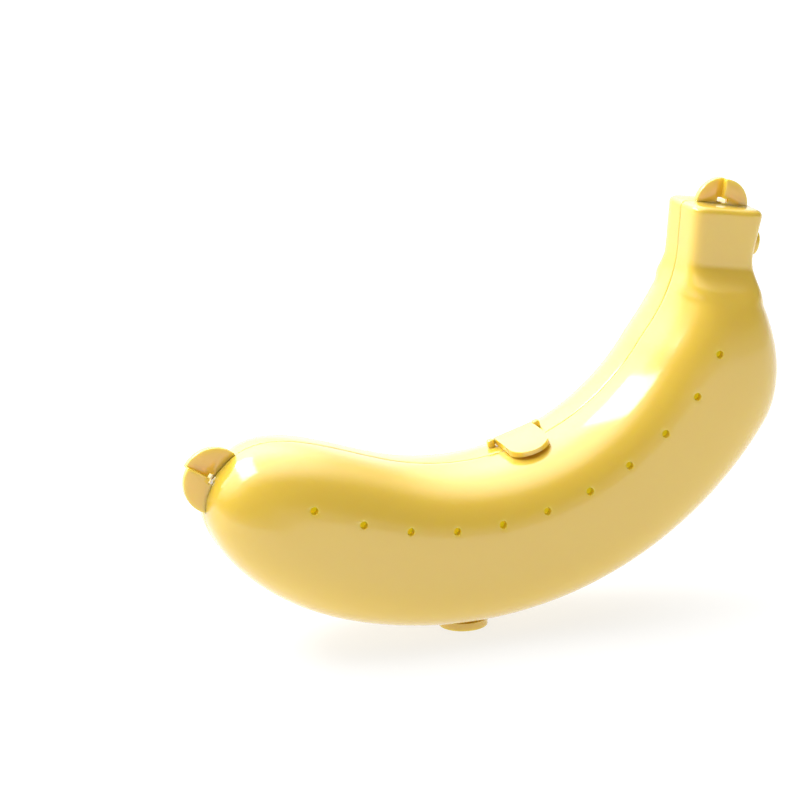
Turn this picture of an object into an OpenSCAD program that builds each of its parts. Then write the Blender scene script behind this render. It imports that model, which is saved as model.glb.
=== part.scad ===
// Banana carrying case: two half shells that meet on the plane of the bend, held by three
// half-round snap tongues, with a split pull ear at each end. It stands on its outer curve.
// Units are millimetres, X runs from the blossom end to the stem, -Y faces the viewer, Z is up.

/* [Bend] */
// Length of the body's centre line from the blossom tip to the neck
body_len = 230; // [214:1:246]
// Slope of the centre line at the blossom tip, degrees below level
tip_dip = 44; // [38:1:50]
// Radius of the bend at the blossom end
tip_bend = 118; // [102:1:140]
// Radius of the bend at the stem end
stem_bend = 88; // [78:1:102]

/* [Body section] */
// Thickness across the curve at the blossom end
tip_thick = 51.5; // [46:0.5:56]
// Thickness across the curve at the middle
mid_thick = 50.5; // [46:0.5:55]
// Thickness across the curve at the stem end, before the neck narrows it
end_thick = 48; // [43:0.5:52]
// Depth of the closed case, front to back
case_depth = 53; // [47:0.5:58]
// Squareness of the body's section, 2 is an ellipse
body_square = 2.8; // [2.3:0.1:3.2]
// Length of the rounded blossom end
dome_len = 56; // [48:1:68]
// Squareness of the rounded blossom end
dome_square = 2.5; // [2.2:0.1:3]
// Thickness of the moulded wall
wall = 2.2; // [2:0.1:2.8]

/* [Stem] */
// Width of the stem across the curve
stem_w = 22.75; // [20.5:0.25:25]
// Depth of the stem, front to back
stem_d = 23.5; // [21:0.5:26]
// Length of the stem above the neck
stem_len = 14.5; // [13:0.5:18]
// Slope of the stem, degrees above level
stem_rise = 82; // [77:1:87]
// Squareness of the stem's section
stem_square = 6.5; // [4:0.5:8]
// Flare of the stem towards its top, on the inner and on the outer side
stem_flare = 1.25; // [0.5:0.25:2]
// Radius of the stem's top edge
stem_edge = 2; // [1:0.25:3]
// Length over which the body narrows to the neck
neck_len = 46; // [40:1:52]
// Distance of the front and back shoulders below the neck
shoulder_drop = 8.5; // [7:0.5:11]
// Half length of the fillet between a shoulder and the stem
shoulder_soft = 3.5; // [2.5:0.25:4.5]
// Offset of the neck towards the inner curve
neck_shift = 9.5; // [7:0.5:12]

/* [Rim] */
// Gap of the seam between the two rims
seam = 0.3; // [0.2:0.05:0.5]
// Outer skin left on the front rim beside its rebate
rim_skin = 0.9; // [0.7:0.05:1.1]
// Height of the rear shell's rim lip in front of the parting plane
lip_rise = 1.8; // [1.2:0.1:2.5]
// Gap between the lip and the rebate
lip_fit = 0.3; // [0.2:0.05:0.4]

/* [Vents] */
// Number of vents in each shell
vent_count = 11; // [9:1:11]
// Diameter of a vent
vent_dia = 2.5; // [2:0.1:3.2]
// Spacing of the vents along the centre line
vent_pitch = 17.3; // [14:0.1:18]
// Place of the middle vent, as a share of the body's length
vent_place = 0.48; // [0.46:0.005:0.5]
// Offset of the middle vent towards the inner curve, as a share of half the thickness
vent_offset = 0.47; // [0.4:0.01:0.5]
// Fall of the row towards its ends, as a share of half the thickness
vent_fall = 0.23; // [0.15:0.01:0.3]

/* [Ears] */
// Radius of the pull ear on the stem
stem_ear = 8.5; // [7.5:0.25:9]
// Offset of the stem's ear towards the outer curve
stem_ear_drop = 1.5; // [0.5:0.25:2.5]
// Radius of the pull ear on the blossom end
tip_ear = 10.25; // [9:0.25:12]
// Slope of the blossom ear, degrees below level
tip_ear_dip = 31; // [26:1:36]
// Offset of the blossom ear towards the outer curve
tip_ear_drop = 3.75; // [2:0.25:5]
// Thickness of one ear plate
ear_t = 2.2; // [1.6:0.1:2.6]
// Lap of an ear's two plates, each past the middle
ear_lap = 0.3; // [0.2:0.05:0.5]

/* [Tongues] */
// Place of the inner tongue, as a share of the body's length
inner_place = 0.51; // [0.47:0.01:0.57]
// Width of the inner tongue
inner_w = 13.5; // [11:0.5:16]
// Place of the foot tongue, towards the stem from the lowest place
foot_shift = 3.5; // [2:0.25:5]
// Width of the foot tongue
foot_w = 16; // [13:0.5:18]
// Width of the stem tongue
side_w = 8; // [7:0.5:9]
// Place of the stem tongue below the stem's top
side_drop = 11.5; // [11:0.25:12.5]
// Reach of the inner tongue over the front shell
inner_reach = 12; // [9:0.5:14]
// Reach of the foot tongue over the front shell
foot_reach = 11; // [9:0.5:13]
// Reach of the stem tongue over the front shell
side_reach = 6; // [5:0.5:8]
// Thickness of a tongue
tongue_t = 2.2; // [1.8:0.1:2.6]
// Gap between a tongue and the shell under it
tongue_gap = 0.8; // [0.7:0.05:1]
// Distance of a tongue's hinge behind the parting plane
hinge_back = 6.5; // [5.5:0.25:8]
// Diameter of a hinge pin
pin_dia = 1.2; // [1:0.1:1.4]
// Gap round a hinge pin and beside a tongue
hinge_fit = 0.25; // [0.2:0.05:0.3]
// Width of a hinge lug
lug_w = 2.4; // [2:0.1:3]

/* [Hidden] */
$fn = 48;
steps = 240;
dome_rings = 11;
body_rings = 16;
neck_rings = 10;
stem_rings = 3;
edge_rings = 3;
arc_parts = 16;
overlap = 1;
rim_back = 0.4;
lip_bite = 0.25;
least_edge = 0.4;
root = 4;
slot_w = 2.6;
slot_h = 1.4;
slot_up = 0.8;
ear_sink = 0.4;
nose_share = 0.44;
pull_room = 0.5;
bead_skin = 0.4;
lug_skin = 0.45;
lug_sink = 1.4;
pin_hold = 0.75;
bend_parts = 12;

step = body_len / steps;
full_len = body_len + stem_len;
neck_start = body_len - neck_len;

function ease(x) = let (c = min(1, max(0, x))) c * c * (3 - 2 * c);
function bend(t) = t / tip_bend + (1 / stem_bend - 1 / tip_bend) * t * t / (2 * body_len);
function heading(t) = bend(t) * 180 / PI - tip_dip;
path = [for (i = 0, p = [0, 0]; i <= steps;
    p = p + step * [cos(heading((i + 0.5) * step)), sin(heading((i + 0.5) * step))], i = i + 1) p];
function on_path(t) = let (k = min(steps - 0.001, t / step), i = floor(k))
    path[i] * (1 - k + i) + path[i + 1] * (k - i);

// Centre line, slope and half sizes of the section at a distance t from the blossom tip.
function neck(t) = ease((t - neck_start) / neck_len);
function across(a) = [-sin(a), cos(a)];
function flare(t) = stem_flare * max(0, t - body_len) / stem_len;
function centre(t) = let (b = min(t, body_len))
    on_path(b) + across(heading(b)) * neck_shift * neck(b)
    + max(0, t - body_len) * [cos(stem_rise), sin(stem_rise)];
function slope(t) = let (b = min(t, body_len)) heading(b) * (1 - neck(b)) + stem_rise * neck(b);
function bulge(t) = let (s = min(1, t / body_len))
    tip_thick / 2 * (1 - s) * (1 - 2 * s) + mid_thick / 2 * 4 * s * (1 - s)
    + end_thick / 2 * s * (2 * s - 1);
function dome(t, in) = let (s = min(1, max(0, (t - in) / (dome_len - in))))
    pow(1 - pow(1 - s, dome_square), 1 / dome_square);
function half_w(t, in) = (bulge(t) * (1 - neck(t)) + stem_w / 2 * neck(t) + flare(t) - in) * dome(t, in);

// The depth ends in a round shoulder with a fillet, where the width narrows smoothly.
function round_end(t, in) = let (s = (t - neck_start) / (neck_len - shoulder_drop - in),
    c = min(1, max(0, s))) 1 - sqrt(1 - c * c);
function shoulder(t, in) = let (parts = [for (i = [-2:2]) round_end(t + i * shoulder_soft / 2, in)])
    parts * [for (p = parts) 1] / len(parts);
function shoulder_end(in) = body_len - shoulder_drop + shoulder_soft - in;
function half_d(t, in) = let (wide = case_depth / mid_thick * bulge(t), k = shoulder(t, in))
    (wide * (1 - k) + stem_d / 2 * k - in) * dome(t, in);
function square_at(t, in) =
    let (k = ease((t - shoulder_end(in) + 5 * shoulder_soft) / (5 * shoulder_soft)))
    body_square * (1 - k) + stem_square * k;

// Rings as pairs of distance and inset, from the blossom tip to the rounded stem top.
function edge(in) = max(least_edge, stem_edge - in);
function rings(in, back = 0) = concat(
    [for (i = [1:dome_rings]) [in + (dome_len - in) * pow(i / dome_rings, 2), in]],
    [for (i = [1:body_rings]) [dome_len + (neck_start - dome_len) * (i - back) / body_rings, in]],
    [for (i = [1:neck_rings])
        [neck_start + (shoulder_end(in) - neck_start) * (i - back) / neck_rings, in]],
    [for (i = [1:stem_rings])
        [shoulder_end(in) + (full_len - in - edge(in) - shoulder_end(in)) * i / stem_rings, in]],
    [for (i = [1:edge_rings]) let (a = 90 * i / edge_rings)
        [full_len - in - edge(in) * (1 - sin(a)), in + edge(in) * (1 - cos(a))]]);
function side_point(t, in, sign) = centre(t) + across(slope(t)) * half_w(t, in) * sign;
function shell_point(t, in, k) = let (c = cos(180 * k / arc_parts), q = 2 / square_at(t, in),
    u = sign(c) * pow(abs(c), q), v = pow(abs(sin(180 * k / arc_parts)), q), p = side_point(t, in, u))
    [p.x, seam / 2 + v * (half_d(t, in) - seam / 2), p.y];
function outline(in, back = 0) = let (rows = rings(in, back)) concat([centre(in)],
    [for (r = rows) side_point(r[0], r[1], -1)],
    [for (i = [len(rows) - 1:-1:0]) side_point(rows[i][0], rows[i][1], 1)]);

// Resting height and middle, from the outline and the ears.
outer = outline(0);
under = [for (i = [0:steps]) side_point(i * step, 0, -1).y];
low = min(under);
foot_t = step * [for (i = [0:steps]) if (under[i] == low) i][0];
tip_left = centre(0) - [tip_ear_drop * sin(tip_ear_dip) + tip_ear, 0];
right_end = max([for (p = outer) p.x]);
shift_x = -(right_end + tip_left.x) / 2;
shift_z = tongue_gap + tongue_t - low;

module half_shell() {
    out = rings(0);
    inn = rings(wall);
    n = len(out);
    m = arc_parts + 1;
    base = n * m + 2;
    tip_in = centre(wall);
    top_in = centre(full_len - wall);
    top_out = centre(full_len);
    points = concat(
        [for (r = out) for (k = [0:arc_parts]) shell_point(r[0], r[1], k)],
        [[0, seam / 2, 0], [top_out.x, seam / 2, top_out.y]],
        [for (r = inn) for (k = [0:arc_parts]) shell_point(r[0], r[1], k)],
        [[tip_in.x, seam / 2, tip_in.y], [top_in.x, seam / 2, top_in.y]]);
    function at(i, k) = i * m + k;
    function tri(a, b, c, d) = [[a, b, c], [a, c, d]];
    faces = concat(
        [for (i = [0:n - 2]) for (k = [0:arc_parts - 1])
            each tri(at(i, k), at(i, k + 1), at(i + 1, k + 1), at(i + 1, k))],
        [for (k = [0:arc_parts - 1]) [n * m, at(0, k + 1), at(0, k)]],
        [for (k = [0:arc_parts - 1]) [n * m + 1, at(n - 1, k), at(n - 1, k + 1)]],
        [for (i = [0:n - 2]) for (k = [0:arc_parts - 1])
            each tri(base + at(i, k), base + at(i + 1, k),
                base + at(i + 1, k + 1), base + at(i, k + 1))],
        [for (k = [0:arc_parts - 1]) [base + n * m, base + at(0, k), base + at(0, k + 1)]],
        [for (k = [0:arc_parts - 1]) [base + n * m + 1, base + at(n - 1, k + 1), base + at(n - 1, k)]],
        [for (i = [0:n - 2]) each tri(at(i, 0), at(i + 1, 0), base + at(i + 1, 0), base + at(i, 0))],
        [for (i = [0:n - 2]) each tri(at(i + 1, arc_parts), at(i, arc_parts),
            base + at(i, arc_parts), base + at(i + 1, arc_parts))],
        tri(n * m, at(0, 0), base + at(0, 0), base + n * m),
        tri(at(0, arc_parts), n * m, base + n * m, base + at(0, arc_parts)),
        tri(at(n - 1, 0), n * m + 1, base + n * m + 1, base + at(n - 1, 0)),
        tri(n * m + 1, at(n - 1, arc_parts), base + at(n - 1, arc_parts), base + n * m + 1));
    polyhedron(points = points, faces = faces);
}

// A flat figure drawn in X and Z, from y0 to y1.
module slab(y0, y1) {
    translate([0, y1, 0]) rotate([90, 0, 0]) linear_extrude(height = y1 - y0) children();
}

// Row of vents through both shells, nearer the inner curve at the middle than at the ends.
function vent_t(i) = vent_place * body_len + (i - (vent_count - 1) / 2) * vent_pitch;
function vent_off(t) = let (s = 2 * t / body_len - 1) vent_offset - vent_fall * s * s;
module vents() {
    for (i = [0:vent_count - 1]) let (t = vent_t(i), p = side_point(t, 0, vent_off(t)))
        translate([p.x, 0, p.y]) rotate([90, 0, 0])
            cylinder(d = vent_dia, h = 2 * case_depth, center = true, $fn = 24);
}

// One plate of a pull ear: a quarter disc on the side given by turn, with a slot near its foot.
module ear_plate(radius, turn) {
    difference() {
        intersection() {
            union() {
                circle(r = radius);
                translate([-radius, -root]) square([2 * radius, root]);
            }
            translate([turn > 0 ? -ear_lap : -radius, -root])
                square([radius + ear_lap, radius + root]);
        }
        translate([-slot_w / 2, slot_up]) square([slot_w, slot_h]);
    }
}
module ear_pair(turn) {
    tip = centre(0) + tip_ear_drop * [-sin(tip_ear_dip), -cos(tip_ear_dip)];
    top = centre(full_len - ear_sink) - stem_ear_drop * across(stem_rise);
    difference() {
        union() {
            translate(top) rotate(stem_rise - 90) ear_plate(stem_ear, turn);
            translate(tip) rotate(90 - tip_ear_dip) ear_plate(tip_ear, -turn);
        }
        polygon(outline(rim_skin, rim_back));
    }
}

// Places of the tongues: a point on the outer skin and the slope of the skin there.
function skin_slope(t, sign) =
    let (d = side_point(t + step, 0, sign) - side_point(t - step, 0, sign)) atan2(d.y, d.x);
inner_t = inner_place * body_len;
inner_at = side_point(inner_t, 0, 1);
foot_at = [side_point(foot_t, 0, -1).x + foot_shift, low];
side_t = full_len - side_drop;
side_at = side_point(side_t, 0, -1);
lug_r = pin_dia / 2 + hinge_fit + lug_skin;
hinge_up = tongue_gap + tongue_t - lug_r;
function pin_len(width) = width + 2 * hinge_fit + 2 * pin_hold * lug_w;

module placed(at, turn) {
    translate([at.x, 0, at.y]) rotate([0, turn, 0]) children();
}
module at_inner() { placed(inner_at, -skin_slope(inner_t, 1)) children(); }
module at_foot() { placed(foot_at, 180) children(); }
module at_side() { placed(side_at, 180 - skin_slope(side_t, -1)) children(); }

// A tongue: half-round at its front end, following the skin of the shell at distance t.
function fall(t, y) = let (n = square_at(t, 0))
    half_w(t, 0) * (1 - pow(1 - pow(min(1, abs(y) / half_d(t, 0)), n), 1 / n));
module tongue(t, width, reach, flat) {
    nose = nose_share * width;
    room = half_w(t, 0);
    ys = [for (i = [0:bend_parts]) hinge_back - (hinge_back + reach) * i / bend_parts];
    lower = [for (y = ys) [y, max(pull_room, tongue_gap - fall(t, y))]];
    upper = [for (i = [bend_parts:-1:0]) [ys[i], tongue_gap + tongue_t - (flat ? 0 : fall(t, ys[i]))]];
    intersection() {
        translate([0, 0, -room]) linear_extrude(height = 2 * room) {
            translate([-width / 2, nose - reach]) square([width, hinge_back + reach - nose]);
            translate([0, nose - reach]) scale([width / 2, nose]) circle(r = 1);
        }
        rotate([90, 0, 90]) translate([0, 0, -width / 2]) linear_extrude(height = width)
            polygon(concat(lower, upper));
    }
    translate([0, hinge_back, hinge_up]) rotate([0, 90, 0]) {
        cylinder(d = pin_dia + 2 * bead_skin, h = width, center = true);
        cylinder(d = pin_dia, h = pin_len(width), center = true);
    }
}
module lug_pair(width) {
    for (s = [-1, 1]) translate([s * (width / 2 + hinge_fit + lug_w / 2), hinge_back, 0]) {
        translate([0, 0, hinge_up]) rotate([0, 90, 0]) cylinder(r = lug_r, h = lug_w, center = true);
        translate([-lug_w / 2, -lug_r, -lug_sink]) cube([lug_w, 2 * lug_r, hinge_up + lug_sink]);
    }
}
module lug_bores(width) {
    translate([0, hinge_back, hinge_up]) rotate([0, 90, 0])
        cylinder(d = pin_dia + 2 * hinge_fit, h = pin_len(width) + 2 * hinge_fit, center = true);
}

module in_frame() {
    translate([shift_x, 0, shift_z]) children();
}

module rear_shell() color([0.97, 0.87, 0.51]) in_frame() difference() {
    union() {
        half_shell();
        slab(-lip_rise, overlap) difference() {
            polygon(outline(rim_skin + lip_fit, rim_back));
            polygon(outline(wall - lip_bite, rim_back));
        }
        slab(seam / 2, seam / 2 + ear_t) ear_pair(-1);
        at_inner() lug_pair(inner_w);
        at_foot() lug_pair(foot_w);
        at_side() lug_pair(side_w);
    }
    vents();
    at_inner() lug_bores(inner_w);
    at_foot() lug_bores(foot_w);
    at_side() lug_bores(side_w);
}

module front_shell() color([0.97, 0.87, 0.51]) in_frame() difference() {
    union() {
        mirror([0, 1, 0]) half_shell();
        slab(-seam / 2 - ear_t, -seam / 2) ear_pair(1);
    }
    slab(-lip_rise - lip_fit, overlap) polygon(outline(rim_skin, rim_back));
    vents();
}

module inner_tongue() color([0.96, 0.82, 0.42]) in_frame()
    at_inner() tongue(inner_t, inner_w, inner_reach, false);
module foot_tongue() color([0.96, 0.82, 0.42]) in_frame()
    at_foot() tongue(foot_t, foot_w, foot_reach, true);
module stem_tongue() color([0.96, 0.82, 0.42]) in_frame()
    at_side() tongue(side_t, side_w, side_reach, false);

rear_shell();
front_shell();
inner_tongue();
foot_tongue();
stem_tongue();
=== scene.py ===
"""Banana carrying case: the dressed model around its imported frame, in metres."""
import math

import bmesh
import bpy
from mathutils import Matrix, Vector


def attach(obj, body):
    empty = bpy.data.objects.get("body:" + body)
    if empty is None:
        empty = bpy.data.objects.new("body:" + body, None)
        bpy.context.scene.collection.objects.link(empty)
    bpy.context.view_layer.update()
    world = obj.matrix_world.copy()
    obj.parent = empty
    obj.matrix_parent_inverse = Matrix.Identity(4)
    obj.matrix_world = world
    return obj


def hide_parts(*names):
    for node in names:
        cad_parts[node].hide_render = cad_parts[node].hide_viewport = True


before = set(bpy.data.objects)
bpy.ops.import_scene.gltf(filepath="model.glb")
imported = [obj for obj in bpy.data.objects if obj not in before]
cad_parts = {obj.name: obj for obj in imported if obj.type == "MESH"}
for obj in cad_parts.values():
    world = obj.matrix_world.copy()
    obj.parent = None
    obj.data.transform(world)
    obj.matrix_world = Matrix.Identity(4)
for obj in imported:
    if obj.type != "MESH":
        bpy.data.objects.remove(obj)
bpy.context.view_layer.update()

MM = 0.001

# Sizes of the case in millimetres, as in the part's source.
BODY_LEN = 230.0
TIP_DIP = 44.0
TIP_BEND = 118.0
STEM_BEND = 88.0
TIP_THICK = 51.5
MID_THICK = 50.5
END_THICK = 48.0
CASE_DEPTH = 53.0
BODY_SQUARE = 2.8
DOME_LEN = 56.0
DOME_SQUARE = 2.5
WALL = 2.2
STEM_W = 22.75
STEM_D = 23.5
STEM_LEN = 14.5
STEM_RISE = 82.0
STEM_SQUARE = 6.5
STEM_FLARE = 1.25
STEM_EDGE = 2.0
LEAST_EDGE = 0.4
NECK_LEN = 46.0
NECK_SHIFT = 9.5
SHOULDER_DROP = 8.5
SHOULDER_SOFT = 3.5
SEAM = 0.3
RIM_SKIN = 0.9
LIP_RISE = 1.8
LIP_FIT = 0.3
LIP_BITE = 0.25
VENT_COUNT = 11
VENT_DIA = 2.5
VENT_PITCH = 17.3
VENT_PLACE = 0.48
VENT_OFFSET = 0.47
VENT_FALL = 0.23
STEM_EAR = 8.5
STEM_EAR_DROP = 1.5
TIP_EAR = 10.25
TIP_EAR_DIP = 31.0
TIP_EAR_DROP = 3.75
EAR_T = 2.2
EAR_LAP = 0.3
EAR_SINK = 0.4
EAR_ROOT = 4.0
SLOT_W = 2.6
SLOT_H = 1.4
SLOT_UP = 0.8
INNER_PLACE = 0.51
INNER_W = 13.5
INNER_REACH = 12.0
FOOT_SHIFT = 3.5
FOOT_W = 16.0
FOOT_REACH = 11.0
SIDE_W = 8.0
SIDE_DROP = 11.5
SIDE_REACH = 6.0
TONGUE_T = 2.2
TONGUE_GAP = 0.8
PULL_ROOM = 0.5
NOSE_SHARE = 0.44
HINGE_BACK = 6.5
PIN_DIA = 1.2
HINGE_FIT = 0.25
PIN_HOLD = 0.75
BEAD_SKIN = 0.4
LUG_W = 2.4
LUG_SKIN = 0.45
LUG_SINK = 1.4

FULL_LEN = BODY_LEN + STEM_LEN
NECK_START = BODY_LEN - NECK_LEN
LUG_R = PIN_DIA / 2 + HINGE_FIT + LUG_SKIN
HINGE_UP = TONGUE_GAP + TONGUE_T - LUG_R

# How far the smooth skin stays inside the faceted solids' box, in millimetres as what follows.
SKIN_IN = 0.02

# How far a tongue runs back past the axis of its pin, inside the bead.
TONGUE_TAIL = 0.4

# Where the section turns square, in shares of the shoulder's fillet: later than in the solids,
# for a rounder shoulder.
SQUARE_BEFORE = 2.5
SQUARE_RUN = 3.5

# Roundings of edges.
RIM_ROUND = 0.22
VENT_ROUND = 0.28
EAR_ROUND = 0.2
LUG_ROUND = 0.9
TONGUE_ROUND = 0.7
TONGUE_UNDER_ROUND = 0.25

# Angles between faces, in degrees, past which an edge is shaded sharp or gets a rounding.
SHADE_ANGLE = 32
MOUTH_ANGLE = 40
CORNER_ANGLE = 50

# Cutters: the drill of the vents, how near its edge a mouth lies, and the core inside the rim.
DRILL_LEN = 100.0
MOUTH_NEAR = 1.06
CORE_FRONT = -2.0
CORE_DEEP = 8.0

# Fineness of the smooth skins.
PATH_STEPS = 960
FOOT_STEPS = 240
SLOPE_STEP = 1.0
SECTION_STEPS = 360
DOME_RINGS = 26
BODY_RINGS = 76
NECK_RINGS = 40
STEM_RINGS = 9
EDGE_RINGS = 6
FILLET_PARTS = 8
OUTER_PARTS = 56
INNER_PARTS = 24
VENT_PARTS = 36
EAR_PARTS = 120
NOSE_PARTS = 72
PIN_PARTS = 32
TONGUE_CUTS = 14


# Centre line and section of the body, at a distance t from the blossom tip.
def ease(x):
    c = min(1.0, max(0.0, x))
    return c * c * (3 - 2 * c)


def heading(t):
    bend = t / TIP_BEND + (1 / STEM_BEND - 1 / TIP_BEND) * t * t / (2 * BODY_LEN)
    return bend - math.radians(TIP_DIP)


def walk_path():
    step = BODY_LEN / PATH_STEPS
    points = [Vector((0.0, 0.0))]
    for i in range(PATH_STEPS):
        a = heading((i + 0.5) * step)
        points.append(points[-1] + step * Vector((math.cos(a), math.sin(a))))
    return points


PATH = walk_path()


def on_path(t):
    k = min(PATH_STEPS - 0.001, max(0.0, t * PATH_STEPS / BODY_LEN))
    i = int(k)
    return PATH[i].lerp(PATH[i + 1], k - i)


def neck(t):
    return ease((t - BODY_LEN + NECK_LEN) / NECK_LEN)


def across(a):
    return Vector((-math.sin(a), math.cos(a)))


def flare(t):
    return STEM_FLARE * max(0.0, t - BODY_LEN) / STEM_LEN


def centre(t):
    b = min(t, BODY_LEN)
    rise = math.radians(STEM_RISE)
    up = Vector((math.cos(rise), math.sin(rise)))
    return on_path(b) + across(heading(b)) * NECK_SHIFT * neck(b) + max(0.0, t - BODY_LEN) * up


def slope(t):
    b = min(t, BODY_LEN)
    return heading(b) * (1 - neck(b)) + math.radians(STEM_RISE) * neck(b)


def bulge(t):
    s = min(1.0, t / BODY_LEN)
    low = TIP_THICK / 2 * (1 - s) * (1 - 2 * s)
    return low + MID_THICK / 2 * 4 * s * (1 - s) + END_THICK / 2 * s * (2 * s - 1)


def dome(t, inset):
    s = min(1.0, max(0.0, (t - inset) / (DOME_LEN - inset)))
    return (1 - (1 - s) ** DOME_SQUARE) ** (1 / DOME_SQUARE)


def half_w(t, inset):
    wide = bulge(t) * (1 - neck(t)) + STEM_W / 2 * neck(t)
    return (wide + flare(t) - inset) * dome(t, inset)


# The depth ends in a round shoulder with a fillet, where the width narrows smoothly.
def shoulder_foot(inset):
    return BODY_LEN - SHOULDER_DROP - inset


def round_end(t, inset):
    c = min(1.0, max(0.0, (t - NECK_START) / (shoulder_foot(inset) - NECK_START)))
    return 1 - math.sqrt(1 - c * c)


def shoulder(t, inset):
    spots = [t + i * SHOULDER_SOFT / FILLET_PARTS for i in range(-FILLET_PARTS, FILLET_PARTS + 1)]
    return sum(round_end(spot, inset) for spot in spots) / len(spots)


def half_d(t, inset):
    k = shoulder(t, inset)
    wide = CASE_DEPTH / MID_THICK * bulge(t) * (1 - k) + STEM_D / 2 * k
    return (wide - inset) * dome(t, inset)


def square_at(t, inset):
    start = t - shoulder_foot(inset) + SQUARE_BEFORE * SHOULDER_SOFT
    k = ease(start / (SQUARE_RUN * SHOULDER_SOFT))
    return BODY_SQUARE * (1 - k) + STEM_SQUARE * k


def side_point(t, inset, side):
    return centre(t) + across(slope(t)) * half_w(t, inset) * side


def rings(inset):
    """Rings as pairs of distance and inset, from the blossom tip to the rounded stem top."""
    edge = max(LEAST_EDGE, STEM_EDGE - inset)
    places = [inset + (DOME_LEN - inset) * (i / DOME_RINGS) ** 2 for i in range(1, DOME_RINGS)]
    fillet_end = shoulder_foot(inset) + SHOULDER_SOFT
    stem_end = FULL_LEN - inset - edge
    spans = (
        (DOME_LEN, NECK_START, BODY_RINGS), (NECK_START, fillet_end, NECK_RINGS),
        (fillet_end, stem_end, STEM_RINGS))
    for start, end, count in spans:
        places += [start + (end - start) * i / count for i in range(count)]
    made = [(place, inset) for place in places + [stem_end]]
    for i in range(1, EDGE_RINGS + 1):
        a = math.pi / 2 * i / EDGE_RINGS
        made.append((FULL_LEN - inset - edge * (1 - math.sin(a)), inset + edge * (1 - math.cos(a))))
    return made


def half_section(square, parts):
    """Points of half a rounded square, evenly spaced from one rim to the other."""
    dense = []
    for i in range(SECTION_STEPS + 1):
        c = math.cos(math.pi * i / SECTION_STEPS)
        s = math.sin(math.pi * i / SECTION_STEPS)
        dense.append((math.copysign(abs(c) ** (2 / square), c), abs(s) ** (2 / square)))
    dense[0], dense[-1] = (1.0, 0.0), (-1.0, 0.0)
    run = [0.0]
    for a, b in zip(dense, dense[1:]):
        run.append(run[-1] + math.hypot(b[0] - a[0], b[1] - a[1]))
    points = []
    j = 0
    for k in range(parts + 1):
        goal = run[-1] * k / parts
        while j < SECTION_STEPS - 1 and run[j + 1] < goal:
            j += 1
        f = (goal - run[j]) / max(1e-9, run[j + 1] - run[j])
        a, b = dense[j], dense[j + 1]
        points.append((a[0] + (b[0] - a[0]) * f, a[1] + (b[1] - a[1]) * f))
    points[0], points[-1] = (1.0, 0.0), (-1.0, 0.0)
    return points


def edge_places(side):
    return [side_point(BODY_LEN * i / PATH_STEPS, 0.0, side) for i in range(PATH_STEPS + 1)]


# The case stands on its foot tongue, with the middle of its length at X = 0.
LEFT_END = -TIP_EAR_DROP * math.sin(math.radians(TIP_EAR_DIP)) - TIP_EAR
RIGHT_END = max(p.x for p in edge_places(-1))
SHIFT_X = -(LEFT_END + RIGHT_END) / 2
SHIFT_Z = TONGUE_GAP + TONGUE_T - min(p.y for p in edge_places(-1))


def in_frame(p, y):
    return Vector((p.x + SHIFT_X, y, p.y + SHIFT_Z)) * MM


# Small helpers for meshes and pieces.
def folded(edge, degrees):
    return edge.calc_face_angle(0) > math.radians(degrees)


def whole(bm):
    return list(bm.verts) + list(bm.edges) + list(bm.faces)


def finish_piece(name, bm, materials, body, node):
    """Makes a piece of bm, which rides on a body and stands for a node."""
    for face in bm.faces:
        face.smooth = True
    for edge in bm.edges:
        edge.smooth = not folded(edge, SHADE_ANGLE)
    mesh = bpy.data.meshes.new(name)
    bm.to_mesh(mesh)
    bm.free()
    piece = bpy.data.objects.new(name, mesh)
    bpy.context.scene.collection.objects.link(piece)
    for material in materials:
        mesh.materials.append(material)
    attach(piece, body)
    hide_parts(node)


def new_parts(result, kind):
    return [g for g in result["geom"] if isinstance(g, kind)]


def edges_among(verts):
    held = set(verts)
    return list({e for v in verts for e in v.link_edges if held.issuperset(e.verts)})


def grow(bm, edges):
    """Extrudes a chain of edges and gives its new vertices and edges."""
    result = bmesh.ops.extrude_edge_only(bm, edges=edges)
    verts = new_parts(result, bmesh.types.BMVert)
    return verts, edges_among(verts)


def round_edges(bm, edges, offset, segments):
    bmesh.ops.bevel(
        bm, geom=edges, offset=offset * MM, offset_type="OFFSET", segments=segments,
        profile=0.5, affect="EDGES", clamp_overlap=True, material=-1,
    )


def carve(bm, cutter):
    """Takes the closed mesh cutter out of bm, and gives the result as a new bmesh."""
    made = []
    for part in (bm, cutter):
        mesh = bpy.data.meshes.new("carving")
        part.to_mesh(mesh)
        part.free()
        made.append(bpy.data.objects.new("carving", mesh))
        bpy.context.scene.collection.objects.link(made[-1])
    cut = made[0].modifiers.new("cut", "BOOLEAN")
    cut.operation = "DIFFERENCE"
    cut.solver = "EXACT"
    cut.object = made[1]
    graph = bpy.context.evaluated_depsgraph_get()
    result = bmesh.new()
    shaped = made[0].evaluated_get(graph)
    result.from_mesh(shaped.to_mesh())
    shaped.to_mesh_clear()
    for part in made:
        mesh = part.data
        bpy.data.objects.remove(part)
        bpy.data.meshes.remove(mesh)
    return result


def join(bm, other):
    mesh = bpy.data.meshes.new("joining")
    other.to_mesh(mesh)
    other.free()
    bm.from_mesh(mesh)
    bpy.data.meshes.remove(mesh)


# Half shells: an outer skin and an inner skin, joined round a stepped rim.
TIP_MARK = -1
TOP_MARK = -2


def rim_place(mark, place, inset, y):
    if mark == TIP_MARK:
        return in_frame(centre(inset), y)
    if mark == TOP_MARK:
        return in_frame(centre(FULL_LEN - inset), y)
    t, deep = rings(inset)[mark]
    return in_frame(side_point(t, deep, 1 if place == 0 else -1), y)


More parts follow.
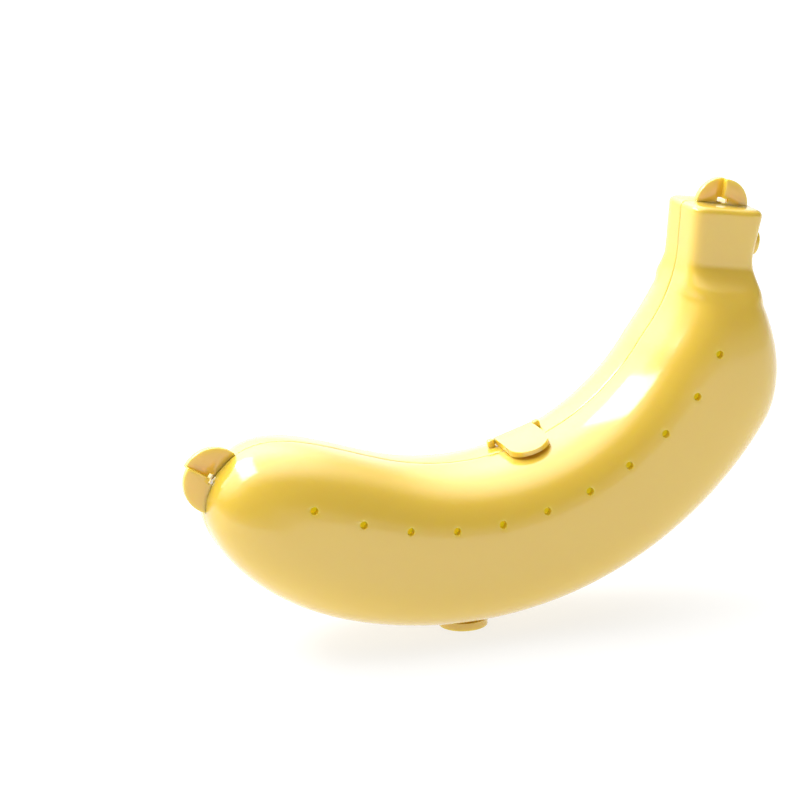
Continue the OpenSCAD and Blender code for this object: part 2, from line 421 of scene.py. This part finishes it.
def add_skin(bm, inset, rim_y, parts):
    """Lofts half a skin ring by ring, from the blossom tip to the stem top, and gives its rim."""
    mark = bm.verts.layers.int["ring"]
    place = bm.verts.layers.int["place"]
    circle = bmesh.ops.create_circle(bm, segments=2 * parts, radius=1.0)["verts"]
    bmesh.ops.delete(bm, geom=[v for v in circle if v.co.y < -1e-6], context="VERTS")
    chain = sorted((v for v in circle if v.is_valid), key=lambda v: -v.co.x)
    for k, v in enumerate(chain):
        v[place] = k
    first = edges_among(chain)
    made = list(chain)
    edges = first
    verts = chain
    for i, (t, deep) in enumerate(rings(inset)):
        if i:
            verts, edges = grow(bm, edges)
            made += verts
        section = half_section(square_at(t, inset), parts)
        for v in verts:
            u, w = section[v[place]]
            v[mark] = i
            v.co = in_frame(side_point(t, deep, u), rim_y + w * max(0.0, half_d(t, deep) - rim_y))
    for chain_edges, end, name in ((first, inset, TIP_MARK), (edges, FULL_LEN - inset, TOP_MARK)):
        verts, _ = grow(bm, chain_edges)
        bmesh.ops.pointmerge(bm, verts=verts, merge_co=in_frame(centre(end), rim_y))
        last = [v for v in verts if v.is_valid][0]
        last[mark] = name
        made.append(last)
    return list({e for v in made for e in v.link_edges if e.is_boundary})


def half_shell(steps, inner_rim):
    """Closed half shell with a rim that takes the given steps, as pairs of inset and depth."""
    bm = bmesh.new()
    mark = bm.verts.layers.int.new("ring")
    place = bm.verts.layers.int.new("place")
    rim = add_skin(bm, SKIN_IN, SEAM / 2, OUTER_PARTS)
    outside = set(bm.faces)
    inner = add_skin(bm, WALL, inner_rim, INNER_PARTS)
    for face in bm.faces:
        face.material_index = 0 if face in outside else 1
    edges = rim
    for inset, y in steps + [(WALL, inner_rim)]:
        verts, edges = grow(bm, edges)
        for v in verts:
            v.co = rim_place(v[mark], v[place], inset, y)
    meeting = list({v for e in edges + inner for v in e.verts})
    bmesh.ops.remove_doubles(bm, verts=meeting, dist=1e-6)
    bmesh.ops.recalc_face_normals(bm, faces=bm.faces)
    round_edges(bm, rim, RIM_ROUND, 2)
    return bm


def outline(inset, y):
    marks = range(len(rings(inset)))
    points = [rim_place(TIP_MARK, 0, inset, y)]
    points += [rim_place(i, 1, inset, y) for i in marks]
    points += [rim_place(i, 0, inset, y) for i in reversed(marks)]
    return points


def vent_row():
    for i in range(VENT_COUNT):
        t = VENT_PLACE * BODY_LEN + (i - (VENT_COUNT - 1) / 2) * VENT_PITCH
        s = 2 * t / BODY_LEN - 1
        yield in_frame(side_point(t, 0.0, VENT_OFFSET - VENT_FALL * s * s), 0.0)


def bore_vents(bm):
    """Drills the row of vents through bm, rounds their mouths and gives the result."""
    drill = bmesh.new()
    radius = VENT_DIA / 2 * MM
    spots = list(vent_row())
    for at in spots:
        bmesh.ops.create_cone(
            drill, cap_ends=True, segments=VENT_PARTS, radius1=radius, radius2=radius,
            depth=DRILL_LEN * MM,
            matrix=Matrix.Translation(at) @ Matrix.Rotation(math.pi / 2, 4, "X"),
        )
    bm = carve(bm, drill)
    mouths = []
    for edge in bm.edges:
        middle = (edge.verts[0].co + edge.verts[1].co) / 2
        near = any(math.hypot(middle.x - s.x, middle.z - s.z) < radius * MOUTH_NEAR for s in spots)
        if near and folded(edge, MOUTH_ANGLE):
            mouths.append(edge)
    round_edges(bm, mouths, VENT_ROUND, 3)
    return bm


def ear_plate(radius, turn):
    """Quarter disc of a pull ear, on the side given by turn, flat in X and Y and thick in Z."""
    bm = bmesh.new()
    bmesh.ops.create_circle(bm, cap_ends=True, segments=EAR_PARTS, radius=radius - SKIN_IN)

    def trim(point, normal, clear):
        bmesh.ops.bisect_plane(
            bm, geom=whole(bm), plane_co=point, plane_no=normal, clear_inner=clear)

    trim((-turn * EAR_LAP, 0, 0), (turn, 0, 0), True)
    trim((0, -EAR_ROOT, 0), (0, 1, 0), True)
    trim((SLOT_W / 2, 0, 0), (1, 0, 0), False)
    trim((-SLOT_W / 2, 0, 0), (1, 0, 0), False)
    trim((0, SLOT_UP, 0), (0, 1, 0), False)
    trim((0, SLOT_UP + SLOT_H, 0), (0, 1, 0), False)
    slot = []
    for face in bm.faces:
        c = face.calc_center_median()
        if abs(c.x) < SLOT_W / 2 and SLOT_UP < c.y < SLOT_UP + SLOT_H:
            slot.append(face)
    bmesh.ops.delete(bm, geom=slot, context="FACES")
    raised = bmesh.ops.extrude_face_region(bm, geom=list(bm.faces))
    bmesh.ops.translate(bm, vec=(0, 0, EAR_T), verts=new_parts(raised, bmesh.types.BMVert))
    bmesh.ops.recalc_face_normals(bm, faces=bm.faces)
    bmesh.ops.dissolve_limit(bm, angle_limit=math.radians(1), verts=bm.verts, edges=bm.edges)
    bmesh.ops.scale(bm, vec=(MM, MM, MM), verts=bm.verts)
    corners = [e for e in bm.edges if folded(e, CORNER_ANGLE)]
    round_edges(bm, corners, EAR_ROUND, 2)
    return bm


def add_ears(bm, turn):
    """Sets the ear plates of one half on the stem and the blossom end."""
    dip = math.radians(TIP_EAR_DIP)
    tip = centre(0) + TIP_EAR_DROP * Vector((-math.sin(dip), -math.cos(dip)))
    top = centre(FULL_LEN - EAR_SINK) - STEM_EAR_DROP * across(math.radians(STEM_RISE))
    plates = ((STEM_EAR, turn, top, STEM_RISE - 90), (TIP_EAR, -turn, tip, 90 - TIP_EAR_DIP))
    for radius, side, at, angle in plates:
        plate = ear_plate(radius, side)
        stand = Matrix.Rotation(math.pi / 2, 4, "X")
        spin = Matrix.Rotation(-math.radians(angle), 4, "Y")
        lift = Matrix.Translation((0, EAR_T * MM, 0))
        put = Matrix.Translation(in_frame(at, SEAM / 2 + SKIN_IN))
        bmesh.ops.transform(plate, matrix=put @ lift @ spin @ stand, verts=plate.verts)
        core = bmesh.new()
        loop = [core.verts.new(p) for p in outline(RIM_SKIN, CORE_FRONT)]
        core.faces.new(loop)
        raised = bmesh.ops.extrude_face_region(core, geom=list(core.faces))
        risen = new_parts(raised, bmesh.types.BMVert)
        bmesh.ops.translate(core, vec=(0, CORE_DEEP * MM, 0), verts=risen)
        bmesh.ops.recalc_face_normals(core, faces=core.faces)
        join(bm, carve(plate, core))


# Places of the tongues: a point on the outer skin, with the skin's slope there.
def skin_slope(t, side):
    d = side_point(t + SLOPE_STEP, 0, side) - side_point(t - SLOPE_STEP, 0, side)
    return math.atan2(d.y, d.x)


def lowest_place():
    places = (BODY_LEN * i / FOOT_STEPS for i in range(FOOT_STEPS + 1))
    return min(places, key=lambda t: side_point(t, 0, -1).y)


INNER_T = INNER_PLACE * BODY_LEN
FOOT_T = lowest_place()
SIDE_T = FULL_LEN - SIDE_DROP


def set_at(point, turn):
    return Matrix.Translation(in_frame(point, 0.0)) @ Matrix.Rotation(turn, 4, "Y")


INNER_SET = set_at(side_point(INNER_T, 0, 1), -skin_slope(INNER_T, 1))
FOOT_SET = set_at(side_point(FOOT_T, 0, -1) + Vector((FOOT_SHIFT, 0)), math.pi)
SIDE_SET = set_at(side_point(SIDE_T, 0, -1), math.pi - skin_slope(SIDE_T, -1))


def add_lugs(bm, width, place):
    """Pair of round-topped hinge lugs beside a tongue of the given width."""
    tall = HINGE_UP + LUG_R + LUG_SINK
    for side in (-1, 1):
        lug = bmesh.new()
        bmesh.ops.create_cube(lug, size=1.0)
        bmesh.ops.scale(lug, vec=(LUG_W * MM, 2 * LUG_R * MM, tall * MM), verts=lug.verts)
        at = (side * (width / 2 + HINGE_FIT + LUG_W / 2), HINGE_BACK, tall / 2 - LUG_SINK)
        bmesh.ops.translate(lug, vec=Vector(at) * MM, verts=lug.verts)
        round_edges(lug, list(lug.edges), LUG_ROUND, 5)
        bmesh.ops.transform(lug, matrix=place, verts=lug.verts)
        join(bm, lug)


def fall(t, y):
    """How far the outer skin has dropped from its top line at a depth y."""
    n = square_at(t, 0)
    return half_w(t, 0) * (1 - (1 - min(1.0, abs(y) / half_d(t, 0)) ** n) ** (1 / n))


def tongue(t, width, reach, flat, place):
    """Half-round tongue that follows the shell under it, with its hinge bead and pin."""
    bm = bmesh.new()
    nose = NOSE_SHARE * width
    bmesh.ops.create_circle(bm, cap_ends=True, segments=NOSE_PARTS, radius=1.0)
    bmesh.ops.scale(bm, vec=(width / 2, nose, 1.0), verts=bm.verts)
    bmesh.ops.translate(bm, vec=(0, nose - reach, 0), verts=bm.verts)
    bmesh.ops.bisect_plane(
        bm, geom=whole(bm), plane_co=(0, nose - reach, 0), plane_no=(0, -1, 0), clear_inner=True)
    straight = [e for e in bm.edges if all(abs(v.co.y - nose + reach) < 1e-4 for v in e.verts)]
    verts, _ = grow(bm, straight)
    for v in verts:
        v.co.y = HINGE_BACK + TONGUE_TAIL
    raised = bmesh.ops.extrude_face_region(bm, geom=list(bm.faces))
    bmesh.ops.translate(bm, vec=(0, 0, TONGUE_T), verts=new_parts(raised, bmesh.types.BMVert))
    bmesh.ops.recalc_face_normals(bm, faces=bm.faces)
    bmesh.ops.scale(bm, vec=(MM, MM, MM), verts=bm.verts)
    top = TONGUE_T * MM
    corners = [e for e in bm.edges if folded(e, CORNER_ANGLE)]
    upper = [e for e in corners if all(v.co.z > top / 2 for v in e.verts)]
    round_edges(bm, upper, TONGUE_ROUND, 4)
    corners = [e for e in bm.edges if folded(e, CORNER_ANGLE)]
    lower = [e for e in corners if all(v.co.z < top / 20 for v in e.verts)]
    round_edges(bm, lower, TONGUE_UNDER_ROUND, 2)
    for i in range(1, TONGUE_CUTS):
        y = (-reach + (reach + HINGE_BACK) * i / TONGUE_CUTS) * MM
        bmesh.ops.bisect_plane(bm, geom=whole(bm), plane_co=(0, y, 0), plane_no=(0, 1, 0))
    for v in bm.verts:
        y = v.co.y / MM
        share = v.co.z / MM / TONGUE_T
        under = max(PULL_ROOM, TONGUE_GAP - fall(t, y))
        over = TONGUE_GAP + TONGUE_T - (0 if flat else fall(t, y))
        v.co.z = (under + (over - under) * share) * MM
    pin_len = width + 2 * HINGE_FIT + 2 * PIN_HOLD * LUG_W
    for diameter, length in ((PIN_DIA + 2 * BEAD_SKIN, width), (PIN_DIA, pin_len)):
        rod = bmesh.new()
        bmesh.ops.create_cone(
            rod, cap_ends=True, segments=PIN_PARTS, radius1=diameter / 2 * MM,
            radius2=diameter / 2 * MM, depth=length * MM)
        turn = Matrix.Rotation(math.pi / 2, 4, "Y")
        put = Matrix.Translation(Vector((0, HINGE_BACK, HINGE_UP)) * MM)
        bmesh.ops.transform(rod, matrix=put @ turn, verts=rod.verts)
        join(bm, rod)
    bmesh.ops.transform(bm, matrix=place, verts=bm.verts)
    return bm


# Materials.
class Socket:
    """A shader value that can be used in Python sums."""

    def __init__(self, tree, out):
        self.tree = tree
        self.out = out

    def _math(self, operation, a, b):
        return self.tree.add("ShaderNodeMath", {"operation": operation}, {0: a, 1: b})

    def __add__(self, other):
        return self._math("ADD", self, other)

    __radd__ = __add__

    def __mul__(self, other):
        return self._math("MULTIPLY", self, other)

    __rmul__ = __mul__


class Finish:
    """The node tree of a material or of the room, with one method that adds any node."""

    def __init__(self, owner, shader):
        owner.use_nodes = True
        self.owner = owner
        self.nodes = owner.node_tree.nodes
        self.links = owner.node_tree.links
        self.shader = self.nodes[shader]

    def add(self, kind, settings=None, inputs=None, output=0):
        node = self.nodes.new(kind)
        for key, value in (settings or {}).items():
            setattr(node, key, value)
        for key, value in (inputs or {}).items():
            self.feed(node.inputs[key], value)
        return Socket(self, node.outputs[output])

    def feed(self, socket, value):
        if isinstance(value, Socket):
            self.links.new(value.out, socket)
        else:
            socket.default_value = value

    def set(self, name, value):
        self.feed(self.shader.inputs[name], value)


def new_finish(name):
    return Finish(bpy.data.materials.new(name), "Principled BSDF")


def mixed(finish, factor, a, b):
    return finish.add(
        "ShaderNodeMix", {"data_type": "RGBA"}, {"Factor": factor, 6: a, 7: b}, output=2)


def moulded_plastic(name, pale, deep, glow=0.0):
    """Glossy translucent plastic; glow is painted light, an amber emission that stands for the
    daylight coming through a thin wall.
    """
    finish = new_finish(name)
    place = finish.add("ShaderNodeTexCoord", output=3)
    cloud = finish.add(
        "ShaderNodeTexNoise", {}, {"Vector": place, "Scale": 22.0, "Detail": 3.0, "Roughness": 0.5})
    grain = finish.add("ShaderNodeTexNoise", {}, {"Vector": place, "Scale": 900.0, "Detail": 2.0})
    wave = finish.add("ShaderNodeTexNoise", {}, {"Vector": place, "Scale": 95.0, "Detail": 2.0})
    finish.set("Base Color", mixed(finish, cloud * 0.6, pale, deep))
    finish.set("Roughness", 0.08 + cloud * 0.05 + grain * 0.04)
    height = wave * 0.8 + grain * 0.1
    bump = finish.add(
        "ShaderNodeBump", {}, {"Strength": 0.12, "Distance": 0.0004, "Height": height})
    finish.set("Normal", bump)
    finish.set("IOR", 1.49)
    finish.set("Specular IOR Level", 1.0)
    finish.set("Coat Weight", 0.6)
    finish.set("Coat Roughness", 0.22)
    finish.set("Subsurface Weight", 0.7)
    finish.set("Subsurface Radius", (0.72, 0.78, 0.14))
    finish.set("Subsurface Scale", 0.0035)
    finish.set("Emission Color", (0.80, 1.0, 0.03, 1))
    finish.set("Emission Strength", glow)
    return finish.owner


SHELL_PALE = (0.84, 0.60, 0.076, 1)
SHELL_DEEP = (0.815, 0.565, 0.062, 1)
# The tongues are the shell's plastic made a little deeper: painted shade, for the shade they sit
# in.
TONGUE_PALE_SHADED = (0.83, 0.575, 0.075, 1)
TONGUE_DEEP_SHADED = (0.805, 0.54, 0.060, 1)
SHELL_PLASTIC = moulded_plastic("shell_plastic", SHELL_PALE, SHELL_DEEP)
# The inner skins carry painted light: a faint amber glow for the daylight through the thin wall,
# seen in the vents.
INNER_PLASTIC_PAINTED_GLOW = moulded_plastic("inner_plastic_painted_glow", SHELL_PALE, SHELL_DEEP, glow=0.18)
TONGUE_SHADED_PLASTIC = moulded_plastic("tongue_plastic_painted_shade", TONGUE_PALE_SHADED, TONGUE_DEEP_SHADED)
SHELL_SKINS = (SHELL_PLASTIC, INNER_PLASTIC_PAINTED_GLOW)

# Rear half: its rim carries a lip, and it holds the lugs of the tongues.
lip_out = RIM_SKIN + LIP_FIT
lip_in = WALL - LIP_BITE
lip = [(lip_out, SEAM / 2), (lip_out, -LIP_RISE), (lip_in, -LIP_RISE), (lip_in, SEAM / 2)]
rear = half_shell(lip, SEAM / 2)
rear = bore_vents(rear)
add_ears(rear, -1)
add_lugs(rear, INNER_W, INNER_SET)
add_lugs(rear, FOOT_W, FOOT_SET)
add_lugs(rear, SIDE_W, SIDE_SET)
finish_piece("rear_half_shell", rear, SHELL_SKINS, "rear_half", "rear_shell")

# Front half: made like the rear one, with a rebate for the lip, and turned over to the front.
rebate_deep = LIP_RISE + LIP_FIT
front = half_shell([(RIM_SKIN, SEAM / 2), (RIM_SKIN, rebate_deep)], rebate_deep)
front = bore_vents(front)
add_ears(front, 1)
bmesh.ops.scale(front, vec=(1, -1, 1), verts=front.verts)
bmesh.ops.reverse_faces(front, faces=front.faces)
finish_piece("front_half_shell", front, SHELL_SKINS, "front_half", "front_shell")

# Tongues: name, place along the body, width, reach, whether the top is flat, and seat.
TONGUES = (
    ("inner", INNER_T, INNER_W, INNER_REACH, False, INNER_SET),
    ("foot", FOOT_T, FOOT_W, FOOT_REACH, True, FOOT_SET),
    ("stem", SIDE_T, SIDE_W, SIDE_REACH, False, SIDE_SET),
)
for name, t, width, reach, flat, place in TONGUES:
    flap = tongue(t, width, reach, flat, place)
    finish_piece(
        name + "_snap_tongue", flap, (TONGUE_SHADED_PLASTIC,), name + "_clasp", name + "_tongue")

# Stage: a pale floor that glows like a light table, and one softbox behind on the left.
FLOOR_REACH = 6.0
floor_bm = bmesh.new()
bmesh.ops.create_grid(floor_bm, x_segments=1, y_segments=1, size=FLOOR_REACH)
floor_mesh = bpy.data.meshes.new("floor")
floor_bm.to_mesh(floor_mesh)
floor_bm.free()
floor = bpy.data.objects.new("floor", floor_mesh)
bpy.context.scene.collection.objects.link(floor)
floor_finish = new_finish("light_table")
floor_finish.set("Base Color", (0.26, 0.26, 0.26, 1))
floor_finish.set("Roughness", 0.85)
floor_finish.set("Specular IOR Level", 0.0)
floor_finish.set("Emission Color", (1, 1, 1, 1))
floor_finish.set("Emission Strength", 0.76)
floor_mesh.materials.append(floor_finish.owner)


def soft_light(name, place, aim, along, wide, tall, watts):
    """Rectangular light that faces aim, with its width along the given direction."""
    lamp = bpy.data.lights.new(name, "AREA")
    lamp.shape = "RECTANGLE"
    lamp.size = wide
    lamp.size_y = tall
    lamp.energy = watts
    lit = bpy.data.objects.new(name, lamp)
    lit.location = place
    z = (Vector(place) - Vector(aim)).normalized()
    y = z.cross(Vector(along)).normalized()
    lit.rotation_euler = Matrix((y.cross(z), y, z)).transposed().to_euler()
    bpy.context.scene.collection.objects.link(lit)


soft_light(
    "key_softbox", place=(-0.79, 0.53, 1.16), aim=(0.0, 0.0, 0.06), along=(-0.36, -0.92, 0.14),
    wide=1.4, tall=0.52, watts=17.0)

# The room: dim all round, with a bright wall behind, a soft ceiling and a pale horizon.
world = bpy.data.worlds.new("studio")
room = Finish(world, "Background")
towards = room.add("ShaderNodeTexCoord", output=0)


def bright_patch(direction, edge, full, low, high):
    """Strength that rises from low to high where the room is looked at along a direction."""
    facing = room.add(
        "ShaderNodeVectorMath", {"operation": "DOT_PRODUCT"}, {0: towards, 1: direction}, output=1)
    return room.add(
        "ShaderNodeMapRange", {"interpolation_type": "SMOOTHSTEP"},
        {"Value": facing, "From Min": edge, "From Max": full, "To Min": low, "To Max": high})


wall = bright_patch((-0.14, 0.93, 0.34), edge=0.62, full=0.90, low=0.17, high=1.3)
ceiling = bright_patch((-0.20, 0.38, 0.90), edge=0.45, full=0.98, low=0.0, high=2.3)
horizon = bright_patch((0, 0, -1), edge=-0.34, full=0.0, low=0.0, high=0.5)
room.set("Strength", wall + ceiling + horizon)
room.set("Color", (1, 1, 1, 1))
bpy.context.scene.world = world
bpy.context.scene.view_settings.view_transform = "Standard"

# Camera at the photograph's angle, for a square picture.
CAMERA_TURN = math.radians(-20.0)
CAMERA_RISE = math.radians(17.0)
CAMERA_AWAY = 0.764
SENSOR = 36.0
PICTURE_PIXELS = 800.0
FOCAL_PIXELS = 2441.0
CAMERA_AIM = Vector((-0.02766, 0.0, 0.07639))
back = Vector((
    math.sin(CAMERA_TURN) * math.cos(CAMERA_RISE),
    -math.cos(CAMERA_TURN) * math.cos(CAMERA_RISE),
    math.sin(CAMERA_RISE),
))
lens = bpy.data.cameras.new("camera")
lens.sensor_width = SENSOR
lens.lens = SENSOR * FOCAL_PIXELS / PICTURE_PIXELS
camera = bpy.data.objects.new("camera", lens)
camera.location = CAMERA_AIM + back * CAMERA_AWAY
camera.rotation_euler = (-back).to_track_quat("-Z", "Y").to_euler()
bpy.context.scene.collection.objects.link(camera)
bpy.context.scene.camera = camera
